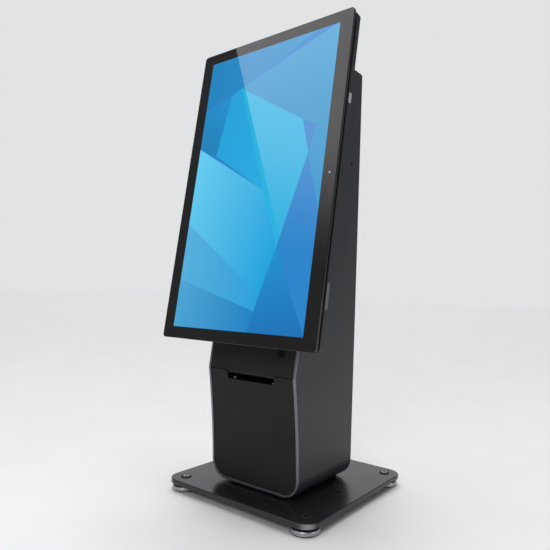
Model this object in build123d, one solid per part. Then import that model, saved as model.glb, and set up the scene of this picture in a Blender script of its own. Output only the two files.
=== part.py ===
from build123d import *
from math import cos, radians, sin, sqrt, tan
import os

# Counter-top touchscreen kiosk: a portrait display leaning back on a slim column that holds a
# receipt printer, standing on a square plate with four levelling feet.
#
# It is laid out about the middle of the base plate, with X to the right of someone facing the
# screen, Y towards the back and Z up from the floor. The finished pieces are all moved along Y
# so that the origin lies under the middle of the whole kiosk, on the floor. Sizes are in mm.

# ---------------------------------------------------------------- driving dimensions

# Base plate and levelling feet
PLATE_SIDE = 300
PLATE_THICK = 8
PLATE_CORNER_R = 25
PLATE_EDGE = 1
FOOT_D = 45
FOOT_DISC_THICK = 6.5
FOOT_SOLE_THICK = 2
FOOT_SOLE_INSET = 1.5
FOOT_SOLE_BORE = 15
FOOT_NECK = 3.5
FOOT_NUT_WIDTH = 14
FOOT_NUT_GAP = 0.5
STUD_D = 10
STUD_FIT = 0.05
STUD_SOCKET = 5
INSERT_WALL = 2
INSERT_FLANGE = 2
INSERT_FLANGE_THICK = 1.5
COUNTER_BOLT_SPACING = 222
COUNTER_BOLT_Y = -11
COUNTER_BOLT_D = 7

# Column
COLUMN_WIDTH = 182
COLUMN_TOP = 733
COLUMN_REAR_Y = 60
COLUMN_GAP = 3
COLUMN_CORNER_R = 30
COLUMN_TOP_R = 4
SHELL_WALL = 3.8
TRIM_DEPTH = 2.5
FRONT_BOTTOM_Y = -96.2
FRONT_SEAM_Y = -114.5
FRONT_BOW = 3.1
SEAM_Z = 210
SEAM_GAP = 1.0
PANEL_SETBACK = 1.0
PANEL_WALL = 2.5
PANEL_GAP = 0.5
PANEL_FLANGE = 12
PANEL_FLANGE_WALL = 2
FASCIA_LIP = 6
FASCIA_LIP_WALL = 1.5
REAR_WALL = 3
CAP_WALL = 3
SPACER_INSET = 22

# Small cuts and fits used all over
EDGE_BREAK = 0.5
FRONT_EDGE_R = 0.5
HOLE_FIT = 0.4
PIN_FIT = 0.05

# Spine, the folded steel frame inside the column
SHEET = 2.5
SPINE_TOP_GAP = 28
SPINE_SETBACK = 14
SPINE_LOW_DEPTH = 46
SPINE_STEP_Z = 292
SPINE_FOOT_FRONT_Y = -50
COLUMN_SCREW_D = 6
COLUMN_SCREW_INSET = 10
COLUMN_SCREW_YS = (-36, 34)
REAR_SCREW_D = 4
REAR_SCREW_X = 40
REAR_SCREW_ZS = (110, 480, 680)
REAR_SCREW_PAST = 3

# Vents in the rear cover
VENT_ZS = (182, 592)
VENT_COUNT = 7
VENT_PITCH = 9
VENT_WIDTH = 90
VENT_HEIGHT = 4

# Display: the lit screen sets its size
TILT = 8.5
DISPLAY_CENTRE_Z = 514
MOUNT_DEPTH = 53
ACTIVE_W = 268.1
ACTIVE_H = 476.6
BORDER_SIDE = 23.25
BORDER_END = 19.4
GLASS_THICK = 2.8
GLASS_CORNER_R = 6
LCD_THICK = 1.6
LCD_LEDGE = (7, 5)
BACKLIGHT_LEDGE = (9.5, 7.5)
BACKLIGHT_PAST = 2
FRONT_FRAME_THICK = 2
FRONT_FRAME_INSET = 0.3
FRONT_FRAME_LEDGE = (10, 8)
MIDFRAME_INSET = 4
MIDFRAME_THICK = 6.2
MIDFRAME_LEDGE = (13, 11)
LEDGE_R = 2
COVER_INSET = 1
COVER_WALL = 2.5
COVER_RIM = 9
COVER_DEPTH = 27
COVER_TAPER = (41.3, 56.7)
COVER_BACK_R = 14
COVER_BOSS_D = 10
COVER_BOSS_LENGTH = 6
COVER_VENT_LENGTH = 18
COVER_VENT_WIDTH = 3.5
COVER_VENT_PITCH = 12
COVER_VENT_COUNT = 15
COVER_VENT_TOP = 40
COVER_VENT_STEP = 26

# Display mount
VESA_PITCH = 100
VESA_SCREW_D = 4
VESA_SCREW_PAST = 5
BRACKET_HEIGHT = 120
BRACKET_WALL = 3
BRACKET_FLANGE = 2.5
BRACKET_REACH = 60
BRACKET_CLEAR = 6
BRACKET_SCREW_Z = 36
BRACKET_SCREW_BEHIND = 12

# Display side fittings, placed from the middle of the display
LED_FROM_EDGE = 11.3
LED_D = 3
LED_SUNK = 0.1
BUTTON_Z = 119
BUTTON_LENGTH = 16
BUTTON_WIDTH = 6
BUTTON_TRAVEL = 0.6
BUTTON_LEFT_PROUD = 0.2
BUTTON_FLANGE = 0.8
BUTTON_FLANGE_THICK = 1
BUTTON_EDGE_R = 0.4
PORT_Z = -177
PORT_LENGTH = 38
PORT_WIDTH = 6.5
PORT_PROUD = 0.4
PORT_EDGE_R = 0.3
PORT_PLATE = 1.5
PORT_CLIP = (2, 4)
PORT_CLIP_REACH = 2.5
PORT_CLIP_INSET = 7
SIDE_FIT = 0.2

# Display insides
BOARD_STANDOFF = 8
BOARD_THICK = 1.6
BOARD_X = (-80, 80)
BOARD_Z = (-40, 90)
POST_WIDTH = 5
POST_INSET = 6
SINK_SIZE = 52
SINK_CENTRE_Z = 36
SINK_BASE = 3
FIN_COUNT = 8
FIN_PITCH = 6.7
FIN_THICK = 2.2
FIN_HEIGHT = 6
CONNECTOR_COUNT = 5
CONNECTOR_PITCH = 30
CONNECTOR_WIDTH = 14
CONNECTOR_DEPTH = 12
CONNECTOR_HEIGHT = 6
SPEAKER_X = 79
SPEAKER_Z = -186
SPEAKER_SIZE = (50, 28)
SPEAKER_THICK = 9
SPEAKER_CONE_D = 20
SPEAKER_CONE_RISE = 1.5

# Printer door, its pivots and catch, and the receipt slot with its chute and tear bar
PIVOT_Z = 60
PIVOT_BEHIND_TRIM = 3
PIVOT_D = 4
PIVOT_BOSS_D = 8
PIVOT_BOSS_LENGTH = 6
PIVOT_SEAT = 2
DOOR_BOTTOM_GAP = 0.8
DOOR_FLANGE_SHORT = 2
SLOT_WIDTH = 98
SLOT_HEIGHT = 14
CHUTE_WALL = 1.6
CHUTE_DEPTH = 10
CHUTE_LAP = 1
TOOTH_PITCH = 4
TOOTH_DEPTH = 3
TEAR_BAR_HEIGHT = 2.5
TEAR_BAR_THICK = 0.8
TEAR_BAR_BEHIND = 0.5
CATCH_WIDTH = 18
CATCH_OFFSET = 2
CATCH_WALL = 2
CATCH_DROP = 10
CATCH_GAP = 1.5
CATCH_OVERLAP = 3
CATCH_FOOT = 10

# Lock, placed from the slot and the seam so that its cam clears the chute
LOCK_BESIDE_SLOT = 10
LOCK_ABOVE_SEAM = 35
LOCK_BODY_D = 12
LOCK_FLANGE = 1
LOCK_PROUD = 1.2
LOCK_PLUG_D = 7
LOCK_LENGTH = 18
LOCK_NUT_THICK = 3.4
LOCK_NUT_RIM = 4
KEY_SLOT_WIDTH = 1.2
KEY_SLOT_HEIGHT = 4.8
KEY_SLOT_DEPTH = 7.2
DRIVE_SQUARE = 4.2
DRIVE_PAST_CAM = 0.8
CAM_CLEAR = 0.2
CAM_LENGTH = 42
CAM_WIDTH = 10
CAM_THICK = 2

# Receipt printer: the roll sets its width, the slot the height of its nip
ROLL_D = 76
ROLL_WIDTH = 79.5
ROLL_CORE_D = 18
ROLL_Y = -18
ROLL_Z = 120
SPINDLE_D = 12
SPINDLE_FIT = 0.1
PRINTER_SIDE_ROOM = 8.25
PRINTER_WALL = 2
PRINTER_FRONT_Y = -86
PRINTER_REAR_Y = 24
PRINTER_BOTTOM_Z = 68
PRINTER_BELOW_SEAM = 1
PRINTER_STEP_BACK = 26
PRINTER_STEP_Z = (108, 138)
SPINE_SIDE_ROOM = 8
TRAY_WALL = 2
TRAY_SIDE_ROOM = 6
TRAY_SCREW_INSET = 14
TRAY_SCREW_RISE = 14
TRAY_UPRIGHT = 28
NIP_ABOVE_SLOT = 3.5
PLATEN_D = 14
PLATEN_OVERHANG = 1.25
PLATEN_SHAFT_D = 5
PLATEN_FLAT = 1.8
PLATEN_Y = -72
HEAD_GAP = 0.5
HEAD_Y = (-5, 9)
HEAD_BASE = 2
HEAD_FIN_COUNT = 4
HEAD_FIN_PITCH = 4
HEAD_FIN_THICK = 2
LID_HINGE_Y = -24
LID_HINGE_DROP = 3
LID_PIN_D = 3
LID_EYE = 2.5
LID_WALL = 2.5
LID_CHEEK = 2
LID_SIDE_GAP = 0.5
LID_FRONT_GAP = 3
LID_CUTTER_GAP = 1.5
CUTTER_THICK = 5
CUTTER_DROP = 28
CUTTER_RISE = 4
CUTTER_SLIT = (-1.5, 2)
MOTOR_D = 20
MOTOR_LENGTH = 18
MOTOR_EAR = (14, 5)
MOTOR_FROM_PLATEN = (20, -26)

# Power supply and its strap
BRICK_HALF_WIDTH = 42
BRICK_DEPTH = 34
BRICK_HEIGHT = 150
BRICK_ABOVE_STEP = 18
BRICK_CORNER_R = 4
STRAP_WALL = 1.5
STRAP_HALF_HEIGHT = 8
STRAP_REACH = 56

# Side holes, where a bracket for a payment terminal is fastened
SIDE_HOLE_Y = 32.8
SIDE_HOLE_Z = 569
SIDE_HOLE_D = 4
SIDE_INSERT_D = 6.5
SIDE_INSERT_FLANGE_D = 9.5
SIDE_INSERT_LENGTH = 9

# Rear cable outlet
OUTLET_Z = 66
OUTLET_D = 22
GROMMET_LIP = 1.2
GROMMET_FLANGE = 2.5
GROMMET_WALL = 3

# ---------------------------------------------------------------- places worked out from them

FAR = 2000
ON_LINE = 0.02
plate_bottom = FOOT_SOLE_THICK + FOOT_DISC_THICK + FOOT_NECK
plate_top = plate_bottom + PLATE_THICK
foot_offset = PLATE_SIDE / 2 - PLATE_CORNER_R
column_bottom = plate_top + COLUMN_GAP
column_half = COLUMN_WIDTH / 2
shell_inner = column_half - SHELL_WALL
shell_floor = column_bottom + SHELL_WALL
panel_half = shell_inner - PANEL_GAP
printer_half = ROLL_WIDTH / 2 + PRINTER_SIDE_ROOM + PRINTER_WALL
spine_inner_half = printer_half + SPINE_SIDE_ROOM
spine_half = spine_inner_half + SHEET
column_screw_x = spine_inner_half - COLUMN_SCREW_INSET
spine_rear = COLUMN_REAR_Y - REAR_WALL - SHEET
rear_inner = COLUMN_REAR_Y - REAR_WALL

# The lower front is a hollow arc from the bottom edge up to the seam. The upper front is a
# straight line that leans back as much as the display does.
front_low = Vector(FRONT_BOTTOM_Y, column_bottom)
front_seam = Vector(FRONT_SEAM_Y, SEAM_Z)
front_top = Vector(FRONT_SEAM_Y + (COLUMN_TOP - SEAM_Z) * tan(radians(TILT)), COLUMN_TOP)
chord = front_seam - front_low
chord_normal = Vector(chord.Y, -chord.X).normalized()
arc_middle = (front_low + front_seam) / 2 + chord_normal * FRONT_BOW
arc_radius = (chord.length ** 2 / 4 + FRONT_BOW ** 2) / (2 * FRONT_BOW)
arc_centre = arc_middle - chord_normal * arc_radius


def front_y(z):
    """Y of the column's front edge at a height."""
    if z < SEAM_Z:
        return arc_centre.X + sqrt(arc_radius ** 2 - (z - arc_centre.Y) ** 2)
    return FRONT_SEAM_Y + (z - SEAM_Z) * tan(radians(TILT))


# The display's own axes: X across, Y from its front face into its depth, Z up along its tilt
glass_w = ACTIVE_W + 2 * BORDER_SIDE
glass_h = ACTIVE_H + 2 * BORDER_END
display_y = front_y(DISPLAY_CENTRE_Z) - MOUNT_DEPTH / cos(radians(TILT))
DISPLAY = Pos(0, display_y, DISPLAY_CENTRE_Z) * Rot(-TILT, 0, 0)
frame_rear = GLASS_THICK + FRONT_FRAME_THICK
midframe_rear = frame_rear + MIDFRAME_THICK
backlight_rear = midframe_rear + BACKLIGHT_PAST
board_front = backlight_rear + BOARD_STANDOFF
cover_rim_rear = midframe_rear + COVER_RIM
cover_rear = midframe_rear + COVER_DEPTH
cover_w = glass_w - 2 * COVER_INSET
cover_h = glass_h - 2 * COVER_INSET
led_x = glass_w / 2 - LED_FROM_EDGE
side_fitting_y = midframe_rear + COVER_RIM / 2

pivot_y = front_y(PIVOT_Z) + TRIM_DEPTH + PIVOT_BEHIND_TRIM
slot_bottom = SEAM_Z - SLOT_HEIGHT
lock_x = SLOT_WIDTH / 2 + LOCK_BESIDE_SLOT
lock_z = SEAM_Z + LOCK_ABOVE_SEAM
LOCK = Pos(lock_x, front_y(lock_z) + PANEL_SETBACK, lock_z) * Rot(-TILT, 0, 0)
cam_front = LOCK_LENGTH + CAM_CLEAR

# The paper leaves the printer between the platen and the print head, level with the slot.
nip_z = slot_bottom + NIP_ABOVE_SLOT
platen_z = nip_z - PLATEN_D / 2
printer_top_z = SEAM_Z - PRINTER_BELOW_SEAM
printer_low_front = PRINTER_FRONT_Y + PRINTER_STEP_BACK
lid_hinge_z = printer_top_z - LID_HINGE_DROP
lid_half = printer_half - PRINTER_WALL - LID_SIDE_GAP
platen_half = ROLL_WIDTH / 2 + PLATEN_OVERHANG
tray_screw_z = PRINTER_BOTTOM_Z + TRAY_SCREW_RISE

# The lowest front corner of the display is the foremost point and the plate's edge the hindmost.
front_reach = display_y - glass_h / 2 * sin(radians(TILT))
back_reach = max(PLATE_SIDE / 2, foot_offset + FOOT_D / 2)
ORIGIN = Pos(0, -(front_reach + back_reach) / 2, 0)

# ---------------------------------------------------------------- shapes used more than once


def block(x, y, z):
    """A rectangular block between three pairs of limits."""
    centre = [(low + high) / 2 for low, high in (x, y, z)]
    size = [high - low for low, high in (x, y, z)]
    return Pos(*centre) * Box(*size)


def rod_x(diameter, x, y, z):
    """A rod along X between the limits x."""
    return Pos(sum(x) / 2, y, z) * Rot(0, 90, 0) * Cylinder(diameter / 2, x[1] - x[0])


def rod_y(diameter, x, y, z):
    """A rod along Y between the limits y."""
    return Pos(x, sum(y) / 2, z) * Rot(90, 0, 0) * Cylinder(diameter / 2, y[1] - y[0])


def rod_z(diameter, x, y, z):
    """A rod along Z between the limits z."""
    return Pos(x, y, sum(z) / 2) * Cylinder(diameter / 2, z[1] - z[0])


def hexagon(across_flats, height):
    """A hexagonal prism standing on the XY plane."""
    return extrude(RegularPolygon(across_flats / 2, 6, major_radius=False), height)


def slab(width, height, radius, y):
    """A plate seen from the front, with round corners, between the limits y."""
    face = Plane((0, y[1], 0), x_dir=(1, 0, 0), z_dir=(0, -1, 0)) * RectangleRounded(width, height, radius)
    return extrude(face, y[1] - y[0])


def socket_screw(diameter, length):
    """A pan-head screw: its head above the XY plane, its shank below, a socket in the head."""
    head_h = 0.55 * diameter
    head = Pos(0, 0, head_h / 2) * Cylinder(0.9 * diameter, head_h)
    head = fillet(head.edges().group_by(Axis.Z)[-1], 0.35 * head_h)
    shank = Pos(0, 0, -length / 2) * Cylinder(diameter / 2, length)
    socket = Pos(0, 0, 0.4 * head_h) * hexagon(0.6 * diameter, head_h)
    return head + shank - socket


def countersunk_screw(diameter, length):
    """A flush screw: its flat head at the XY plane, its shank below, a socket in the head."""
    head_h = 0.5 * diameter
    head = Pos(0, 0, -head_h / 2) * Cone(diameter / 2, diameter, head_h)
    shank = Pos(0, 0, -length / 2) * Cylinder(diameter / 2, length)
    socket = Pos(0, 0, -0.4 * head_h) * hexagon(0.6 * diameter, head_h)
    return head + shank - socket


def group(pieces):
    """Several identical pieces in one node."""
    return Compound(list(pieces))


def column_side(setback):
    """The column's side view as a face, with its front edge set back."""
    back = Vector(setback, 0)
    corner = Vector(COLUMN_REAR_Y, COLUMN_TOP)
    arc = ThreePointArc(front_low + back, arc_middle + back, front_seam + back)
    rest = Polyline(
        front_seam + back,
        front_top + back,
        corner,
        Vector(COLUMN_REAR_Y, column_bottom),
        front_low + back,
    )
    face = make_face(arc + rest)
    return fillet(face.vertices().sort_by_distance(corner)[0], COLUMN_TOP_R)


def column_block(setback):
    """The whole column as one block, with its front set back."""
    return extrude(Plane.YZ * column_side(setback), column_half, both=True)


def seen_from_front(half_width, z, radius=0):
    """A prism through the column in Y: a rectangle whose two lower corners are rounded."""
    outline = Pos(0, sum(z) / 2) * Rectangle(2 * half_width, z[1] - z[0])
    if radius:
        outline = fillet(outline.vertices().group_by(Axis.Y)[0], radius)
    return extrude(Plane.XZ * outline, FAR, both=True)


def front_layer(setback, thickness):
    """A layer that follows the column's front, from its bottom to its top."""
    return column_block(setback) - column_block(setback + thickness)


def follows_front(edge, setback):
    """Whether an edge lies all along the column's front line set back by a distance."""
    points = [edge.position_at(share) for share in (0.02, 0.35, 0.65, 0.98)]
    return all(abs(point.Y - front_y(point.Z) - setback) < ON_LINE for point in points)


def soften_front(piece, setback):
    """Rounds the edges of a piece's front face."""
    edges = [edge for edge in piece.edges() if follows_front(edge, setback)]
    return fillet(edges, FRONT_EDGE_R)


def column_front_solid(setback):
    """Everything in front of the column's front line set back by a distance."""
    whole = block((-column_half, column_half), (-FAR, COLUMN_REAR_Y), (column_bottom, COLUMN_TOP))
    return whole - column_block(setback)


def spaced(count, pitch):
    """Evenly spaced places about zero."""
    return [(number - (count - 1) / 2) * pitch for number in range(count)]


def both_sides(low, high):
    """The same stretch of X on the right and on the left."""
    return [(low, high), (-high, -low)]


# ---------------------------------------------------------------- base


def corner_places():
    return {
        "front_left": (-foot_offset, -foot_offset),
        "front_right": (foot_offset, -foot_offset),
        "rear_left": (-foot_offset, foot_offset),
        "rear_right": (foot_offset, foot_offset),
    }


def column_screw_places():
    return [(side * column_screw_x, y) for side in (-1, 1) for y in COLUMN_SCREW_YS]


def counter_bolt_places():
    return [(side * COUNTER_BOLT_SPACING / 2, COUNTER_BOLT_Y) for side in (-1, 1)]


def base_plate():
    plate = extrude(RectangleRounded(PLATE_SIDE, PLATE_SIDE, PLATE_CORNER_R), PLATE_THICK)
    rims = plate.edges().group_by(Axis.Z)
    plate = Pos(0, 0, plate_bottom) * chamfer(rims[0] + rims[-1], PLATE_EDGE)
    through = (plate_bottom, plate_top)
    for x, y in corner_places().values():
        plate -= rod_z(STUD_D + 2 * INSERT_WALL, x, y, through)
    for x, y in counter_bolt_places():
        plate -= rod_z(COUNTER_BOLT_D, x, y, through)
    for x, y in column_screw_places():
        plate -= rod_z(COLUMN_SCREW_D + HOLE_FIT, x, y, through)
        plate -= Pos(x, y, plate_bottom + COLUMN_SCREW_D / 4) * Cone(
            COLUMN_SCREW_D, COLUMN_SCREW_D / 2, COLUMN_SCREW_D / 2
        )
    return plate


def foot_inserts():
    """Flanged threaded bushings that the levelling studs screw through."""
    inserts = []
    top = plate_top + INSERT_FLANGE_THICK
    barrel_d = STUD_D + 2 * INSERT_WALL
    for x, y in corner_places().values():
        flange = rod_z(barrel_d + 2 * INSERT_FLANGE, x, y, (plate_top, top))
        flange = chamfer(flange.edges().group_by(Axis.Z)[-1], EDGE_BREAK)
        barrel = rod_z(barrel_d, x, y, (plate_bottom, plate_top))
        bore = rod_z(STUD_D + 2 * STUD_FIT, x, y, (plate_bottom, top))
        inserts.append(flange + barrel - bore)
    return group(inserts)


def levelling_foot(x, y):
    """A steel disc with a spanner hexagon and a stud, which ends flush with its insert."""
    disc_top = FOOT_SOLE_THICK + FOOT_DISC_THICK
    disc = rod_z(FOOT_D, x, y, (FOOT_SOLE_THICK, disc_top))
    disc = fillet(disc.edges().group_by(Axis.Z)[-1], FOOT_DISC_THICK * 0.35)
    nut = Pos(x, y, disc_top) * hexagon(FOOT_NUT_WIDTH, FOOT_NECK - FOOT_NUT_GAP)
    stud_top = plate_top + INSERT_FLANGE_THICK
    stud = rod_z(STUD_D, x, y, (disc_top, stud_top))
    socket = Pos(x, y, stud_top - STUD_SOCKET) * hexagon(STUD_SOCKET, STUD_SOCKET)
    return disc + nut + stud - socket


def foot_sole(x, y):
    """The rubber ring under a levelling foot."""
    sole = rod_z(FOOT_D - 2 * FOOT_SOLE_INSET, x, y, (0, FOOT_SOLE_THICK))
    return sole - rod_z(FOOT_SOLE_BORE, x, y, (0, FOOT_SOLE_THICK))


# ---------------------------------------------------------------- column


def column_spacer():
    """The plate that lifts the shell off the base, leaving a dark gap all round."""
    half = column_half - SPACER_INSET
    y = (FRONT_BOTTOM_Y + SPACER_INSET, COLUMN_REAR_Y - SPACER_INSET / 2)
    spacer = block((-half, half), y, (plate_top, column_bottom))
    for x, screw_y in column_screw_places():
        spacer -= rod_z(COLUMN_SCREW_D + HOLE_FIT, x, screw_y, (plate_top, column_bottom))
    return spacer


def shell_ring():
    """The shell's wall seen from the front: two sides joined by a floor with round corners."""
    outer = seen_from_front(column_half, (column_bottom, COLUMN_TOP), COLUMN_CORNER_R)
    inner_z = (shell_floor, COLUMN_TOP + SHELL_WALL)
    inner = seen_from_front(shell_inner, inner_z, COLUMN_CORNER_R - SHELL_WALL)
    return outer - inner


def side_hole(side, diameter, x):
    """A hole through a side wall where a payment bracket is fastened."""
    low, high = sorted((side * x[0], side * x[1]))
    return rod_x(diameter, (low, high), SIDE_HOLE_Y, SIDE_HOLE_Z)


def column_shell():
    shell = column_block(TRIM_DEPTH) & shell_ring()
    for x, y in column_screw_places():
        shell -= rod_z(COLUMN_SCREW_D + HOLE_FIT, x, y, (column_bottom, shell_floor))
    pivot_reach = shell_inner + PIVOT_SEAT + HOLE_FIT
    for side in (-1, 1):
        shell -= side_hole(side, SIDE_INSERT_D, (shell_inner, column_half))
        low, high = sorted((side * shell_inner, side * pivot_reach))
        shell -= rod_x(PIVOT_D + 2 * PIN_FIT, (low, high), pivot_y, PIVOT_Z)
    return shell


def column_trim():
    """The bright strip along the shell's front edge."""
    return soften_front(front_layer(0, TRIM_DEPTH) & shell_ring(), 0)


def side_inserts():
    """Threaded bushings pressed into the side walls."""
    inserts = []
    for side in (-1, 1):
        inner = column_half - SIDE_INSERT_LENGTH
        barrel = side_hole(side, SIDE_INSERT_D, (inner, column_half))
        flange = side_hole(side, SIDE_INSERT_FLANGE_D, (inner, shell_inner))
        bore = side_hole(side, SIDE_HOLE_D, (inner, column_half))
        inserts.append(barrel + flange - bore)
    return group(inserts)


def column_screws():
    """Flush screws that come up through the plate, spacer, shell and spine."""
    length = PLATE_THICK + COLUMN_GAP + SHELL_WALL + SHEET + COLUMN_SCREW_D
    screw = Rot(180, 0, 0) * countersunk_screw(COLUMN_SCREW_D, length)
    return group(Pos(x, y, plate_bottom) * screw for x, y in column_screw_places())


def spine():
    """A folded channel: a rear web, two side flanges and a foot that stands in the shell."""
    top = COLUMN_TOP - SPINE_TOP_GAP
    foot_top = shell_floor + SHEET
    low_front = spine_rear + SHEET - SPINE_LOW_DEPTH
    flange = make_face(
        Polyline(
            (spine_rear + SHEET, shell_floor),
            (low_front, shell_floor),
            (low_front, SPINE_STEP_Z),
            (front_y(SPINE_STEP_Z + SPINE_LOW_DEPTH) + SPINE_SETBACK, SPINE_STEP_Z + SPINE_LOW_DEPTH),
            (front_y(top) + SPINE_SETBACK, top),
            (spine_rear + SHEET, top),
            (spine_rear + SHEET, shell_floor),
        )
    )
    body = extrude(Plane.YZ * flange, spine_half, both=True)
    body -= block((-spine_inner_half, spine_inner_half), (-FAR, spine_rear), (foot_top, FAR))
    body += block((-spine_half, spine_half), (SPINE_FOOT_FRONT_Y, spine_rear), (shell_floor, foot_top))
    for x, y in column_screw_places():
        body += rod_z(2 * COLUMN_SCREW_D, x, y, (foot_top, foot_top + COLUMN_SCREW_D))
        body -= rod_z(COLUMN_SCREW_D, x, y, (shell_floor, foot_top + COLUMN_SCREW_D))
    body &= seen_from_front(shell_inner, (shell_floor, COLUMN_TOP), COLUMN_CORNER_R - SHELL_WALL)
    web = (spine_rear, spine_rear + SHEET)
    for x, z in rear_screw_places():
        body -= rod_y(REAR_SCREW_D, x, web, z)
    body -= rod_y(OUTLET_D + 2 * GROMMET_FLANGE + 2 * EDGE_BREAK, 0, web, OUTLET_Z)
    for side, z in bracket_screw_places():
        body -= DISPLAY * bracket_screw_hole(side, z)
    for x in tray_screw_xs():
        body -= rod_y(REAR_SCREW_D, x, web, tray_screw_z)
    return body


def rear_screw_places():
    return [(side * REAR_SCREW_X, z) for side in (-1, 1) for z in REAR_SCREW_ZS]


def vent_slots():
    """Two stacks of round-ended slots through the rear cover."""
    slot = extrude(Plane.XZ * SlotOverall(VENT_WIDTH, VENT_HEIGHT), REAR_WALL)
    steps = spaced(VENT_COUNT, VENT_PITCH)
    return [Pos(0, COLUMN_REAR_Y, z + step) * slot for z in VENT_ZS for step in steps]


def rear_cover():
    """The column's back panel with its vents, screw holes and cable outlet."""
    slab_block = column_block(0) & block(
        (-column_half, column_half), (rear_inner, COLUMN_REAR_Y), (column_bottom, COLUMN_TOP)
    )
    z = (shell_floor + PANEL_GAP, COLUMN_TOP)
    cover = slab_block & seen_from_front(panel_half, z, COLUMN_CORNER_R - SHELL_WALL - PANEL_GAP)
    for vent in vent_slots():
        cover -= vent
    for x, z in rear_screw_places():
        cover -= rod_y(REAR_SCREW_D + HOLE_FIT, x, (rear_inner, COLUMN_REAR_Y), z)
    return cover - rod_y(OUTLET_D, 0, (rear_inner, COLUMN_REAR_Y), OUTLET_Z)


def rear_cover_screws():
    screw = Rot(-90, 0, 0) * socket_screw(REAR_SCREW_D, REAR_WALL + SHEET + REAR_SCREW_PAST)
    return group(Pos(x, COLUMN_REAR_Y, z) * screw for x, z in rear_screw_places())


def outlet_grommet():
    """The rubber ring that lines the cable outlet."""
    through = (rear_inner - GROMMET_LIP, COLUMN_REAR_Y + GROMMET_LIP)
    ring = rod_y(OUTLET_D, 0, through, OUTLET_Z)
    for y in ((through[0], rear_inner), (COLUMN_REAR_Y, through[1])):
        ring += rod_y(OUTLET_D + 2 * GROMMET_FLANGE, 0, y, OUTLET_Z)
    return ring - rod_y(OUTLET_D - 2 * GROMMET_WALL, 0, through, OUTLET_Z)


def top_cap():
    """The lid of the column, between the shell's sides and the rear cover."""
    y = (front_y(COLUMN_TOP - CAP_WALL) + PANEL_SETBACK + PANEL_WALL + PANEL_GAP, rear_inner)
    return block((-panel_half, panel_half), y, (COLUMN_TOP - CAP_WALL, COLUMN_TOP))


def panel_flanges(z):
    """Two stiffening flanges behind a front panel's side edges."""
    depth = front_layer(PANEL_SETBACK + PANEL_WALL, PANEL_FLANGE)
    inner_half = panel_half - PANEL_FLANGE_WALL
    return depth & (seen_from_front(panel_half, z) - seen_from_front(inner_half, z))


def upper_fascia():
    """The fixed front panel, from the seam up behind the display to the top."""
    z = (SEAM_Z + SEAM_GAP / 2, COLUMN_TOP)
    panel = front_layer(PANEL_SETBACK, PANEL_WALL) & seen_from_front(panel_half, z)
    panel += panel_flanges((z[0], COLUMN_TOP - CAP_WALL - PANEL_GAP))
    lip_z = (z[0], z[0] + FASCIA_LIP_WALL)
    panel += front_layer(PANEL_SETBACK + PANEL_WALL, FASCIA_LIP) & seen_from_front(panel_half, lip_z)
    window_x = spine_inner_half + BRACKET_CLEAR
    window_z = BRACKET_HEIGHT / 2 + BRACKET_CLEAR
    through = (cover_rear, MOUNT_DEPTH + PANEL_WALL + PANEL_FLANGE)
    panel -= DISPLAY * block((-window_x, window_x), through, (-window_z, window_z))
    panel = soften_front(panel, PANEL_SETBACK)
    return panel - LOCK * rod_y(LOCK_BODY_D, 0, (-LOCK_PROUD, PANEL_WALL + LOCK_NUT_THICK), 0)


# ---------------------------------------------------------------- lock


def lock_body():
    """The fixed barrel of the cam lock, with its round face on the fascia."""
    face = rod_y(LOCK_BODY_D + 2 * LOCK_FLANGE, 0, (-LOCK_PROUD, 0), 0)
    face = chamfer(face.edges().group_by(Axis.Y)[0], EDGE_BREAK)
    barrel = rod_y(LOCK_BODY_D, 0, (0, LOCK_LENGTH), 0)
    bore = rod_y(LOCK_PLUG_D + 2 * PIN_FIT, 0, (-LOCK_PROUD, LOCK_LENGTH), 0)
    return LOCK * (face + barrel - bore)


def lock_nut():
    """The nut that clamps the lock to the fascia from behind."""
    y = (PANEL_WALL, PANEL_WALL + LOCK_NUT_THICK)
    nut = Pos(0, y[1], 0) * Rot(90, 0, 0) * hexagon(LOCK_BODY_D + LOCK_NUT_RIM, LOCK_NUT_THICK)
    return LOCK * (nut - rod_y(LOCK_BODY_D, 0, y, 0))


def lock_plug():
    """The turning plug with its key slot and the square that drives the cam."""
    plug = rod_y(LOCK_PLUG_D, 0, (-LOCK_PROUD, cam_front), 0)
    slot_half = (KEY_SLOT_WIDTH / 2, KEY_SLOT_HEIGHT / 2)
    slot_y = (-LOCK_PROUD, KEY_SLOT_DEPTH - LOCK_PROUD)
    key_slot = block((-slot_half[0], slot_half[0]), slot_y, (-slot_half[1], slot_half[1]))
    return LOCK * (plug + cam_drive((cam_front, cam_front + CAM_THICK + DRIVE_PAST_CAM)) - key_slot)


def cam_drive(y):
    """The square that the plug turns its cam with."""
    half = DRIVE_SQUARE / 2
    return block((-half, half), y, (-half, half))


def lock_cam():
    """The lever that hangs behind the door's catch while the lock is shut."""
    y = (cam_front, cam_front + CAM_THICK)
    tip = CAM_LENGTH - CAM_WIDTH / 2
    cam = rod_y(CAM_WIDTH, 0, y, 0) + rod_y(CAM_WIDTH, 0, y, -tip)
    cam += block((-CAM_WIDTH / 2, CAM_WIDTH / 2), y, (-tip, 0))
    return LOCK * (cam - cam_drive(y))


# ---------------------------------------------------------------- printer door


def door_outline():
    z = (shell_floor + DOOR_BOTTOM_GAP, SEAM_Z - SEAM_GAP / 2)
    return seen_from_front(panel_half, z, COLUMN_CORNER_R - SHELL_WALL - PANEL_GAP)


def door_inner_y(z):
    """Y of the door's inner face at a height."""
    return front_y(z) + PANEL_SETBACK + PANEL_WALL


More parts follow.
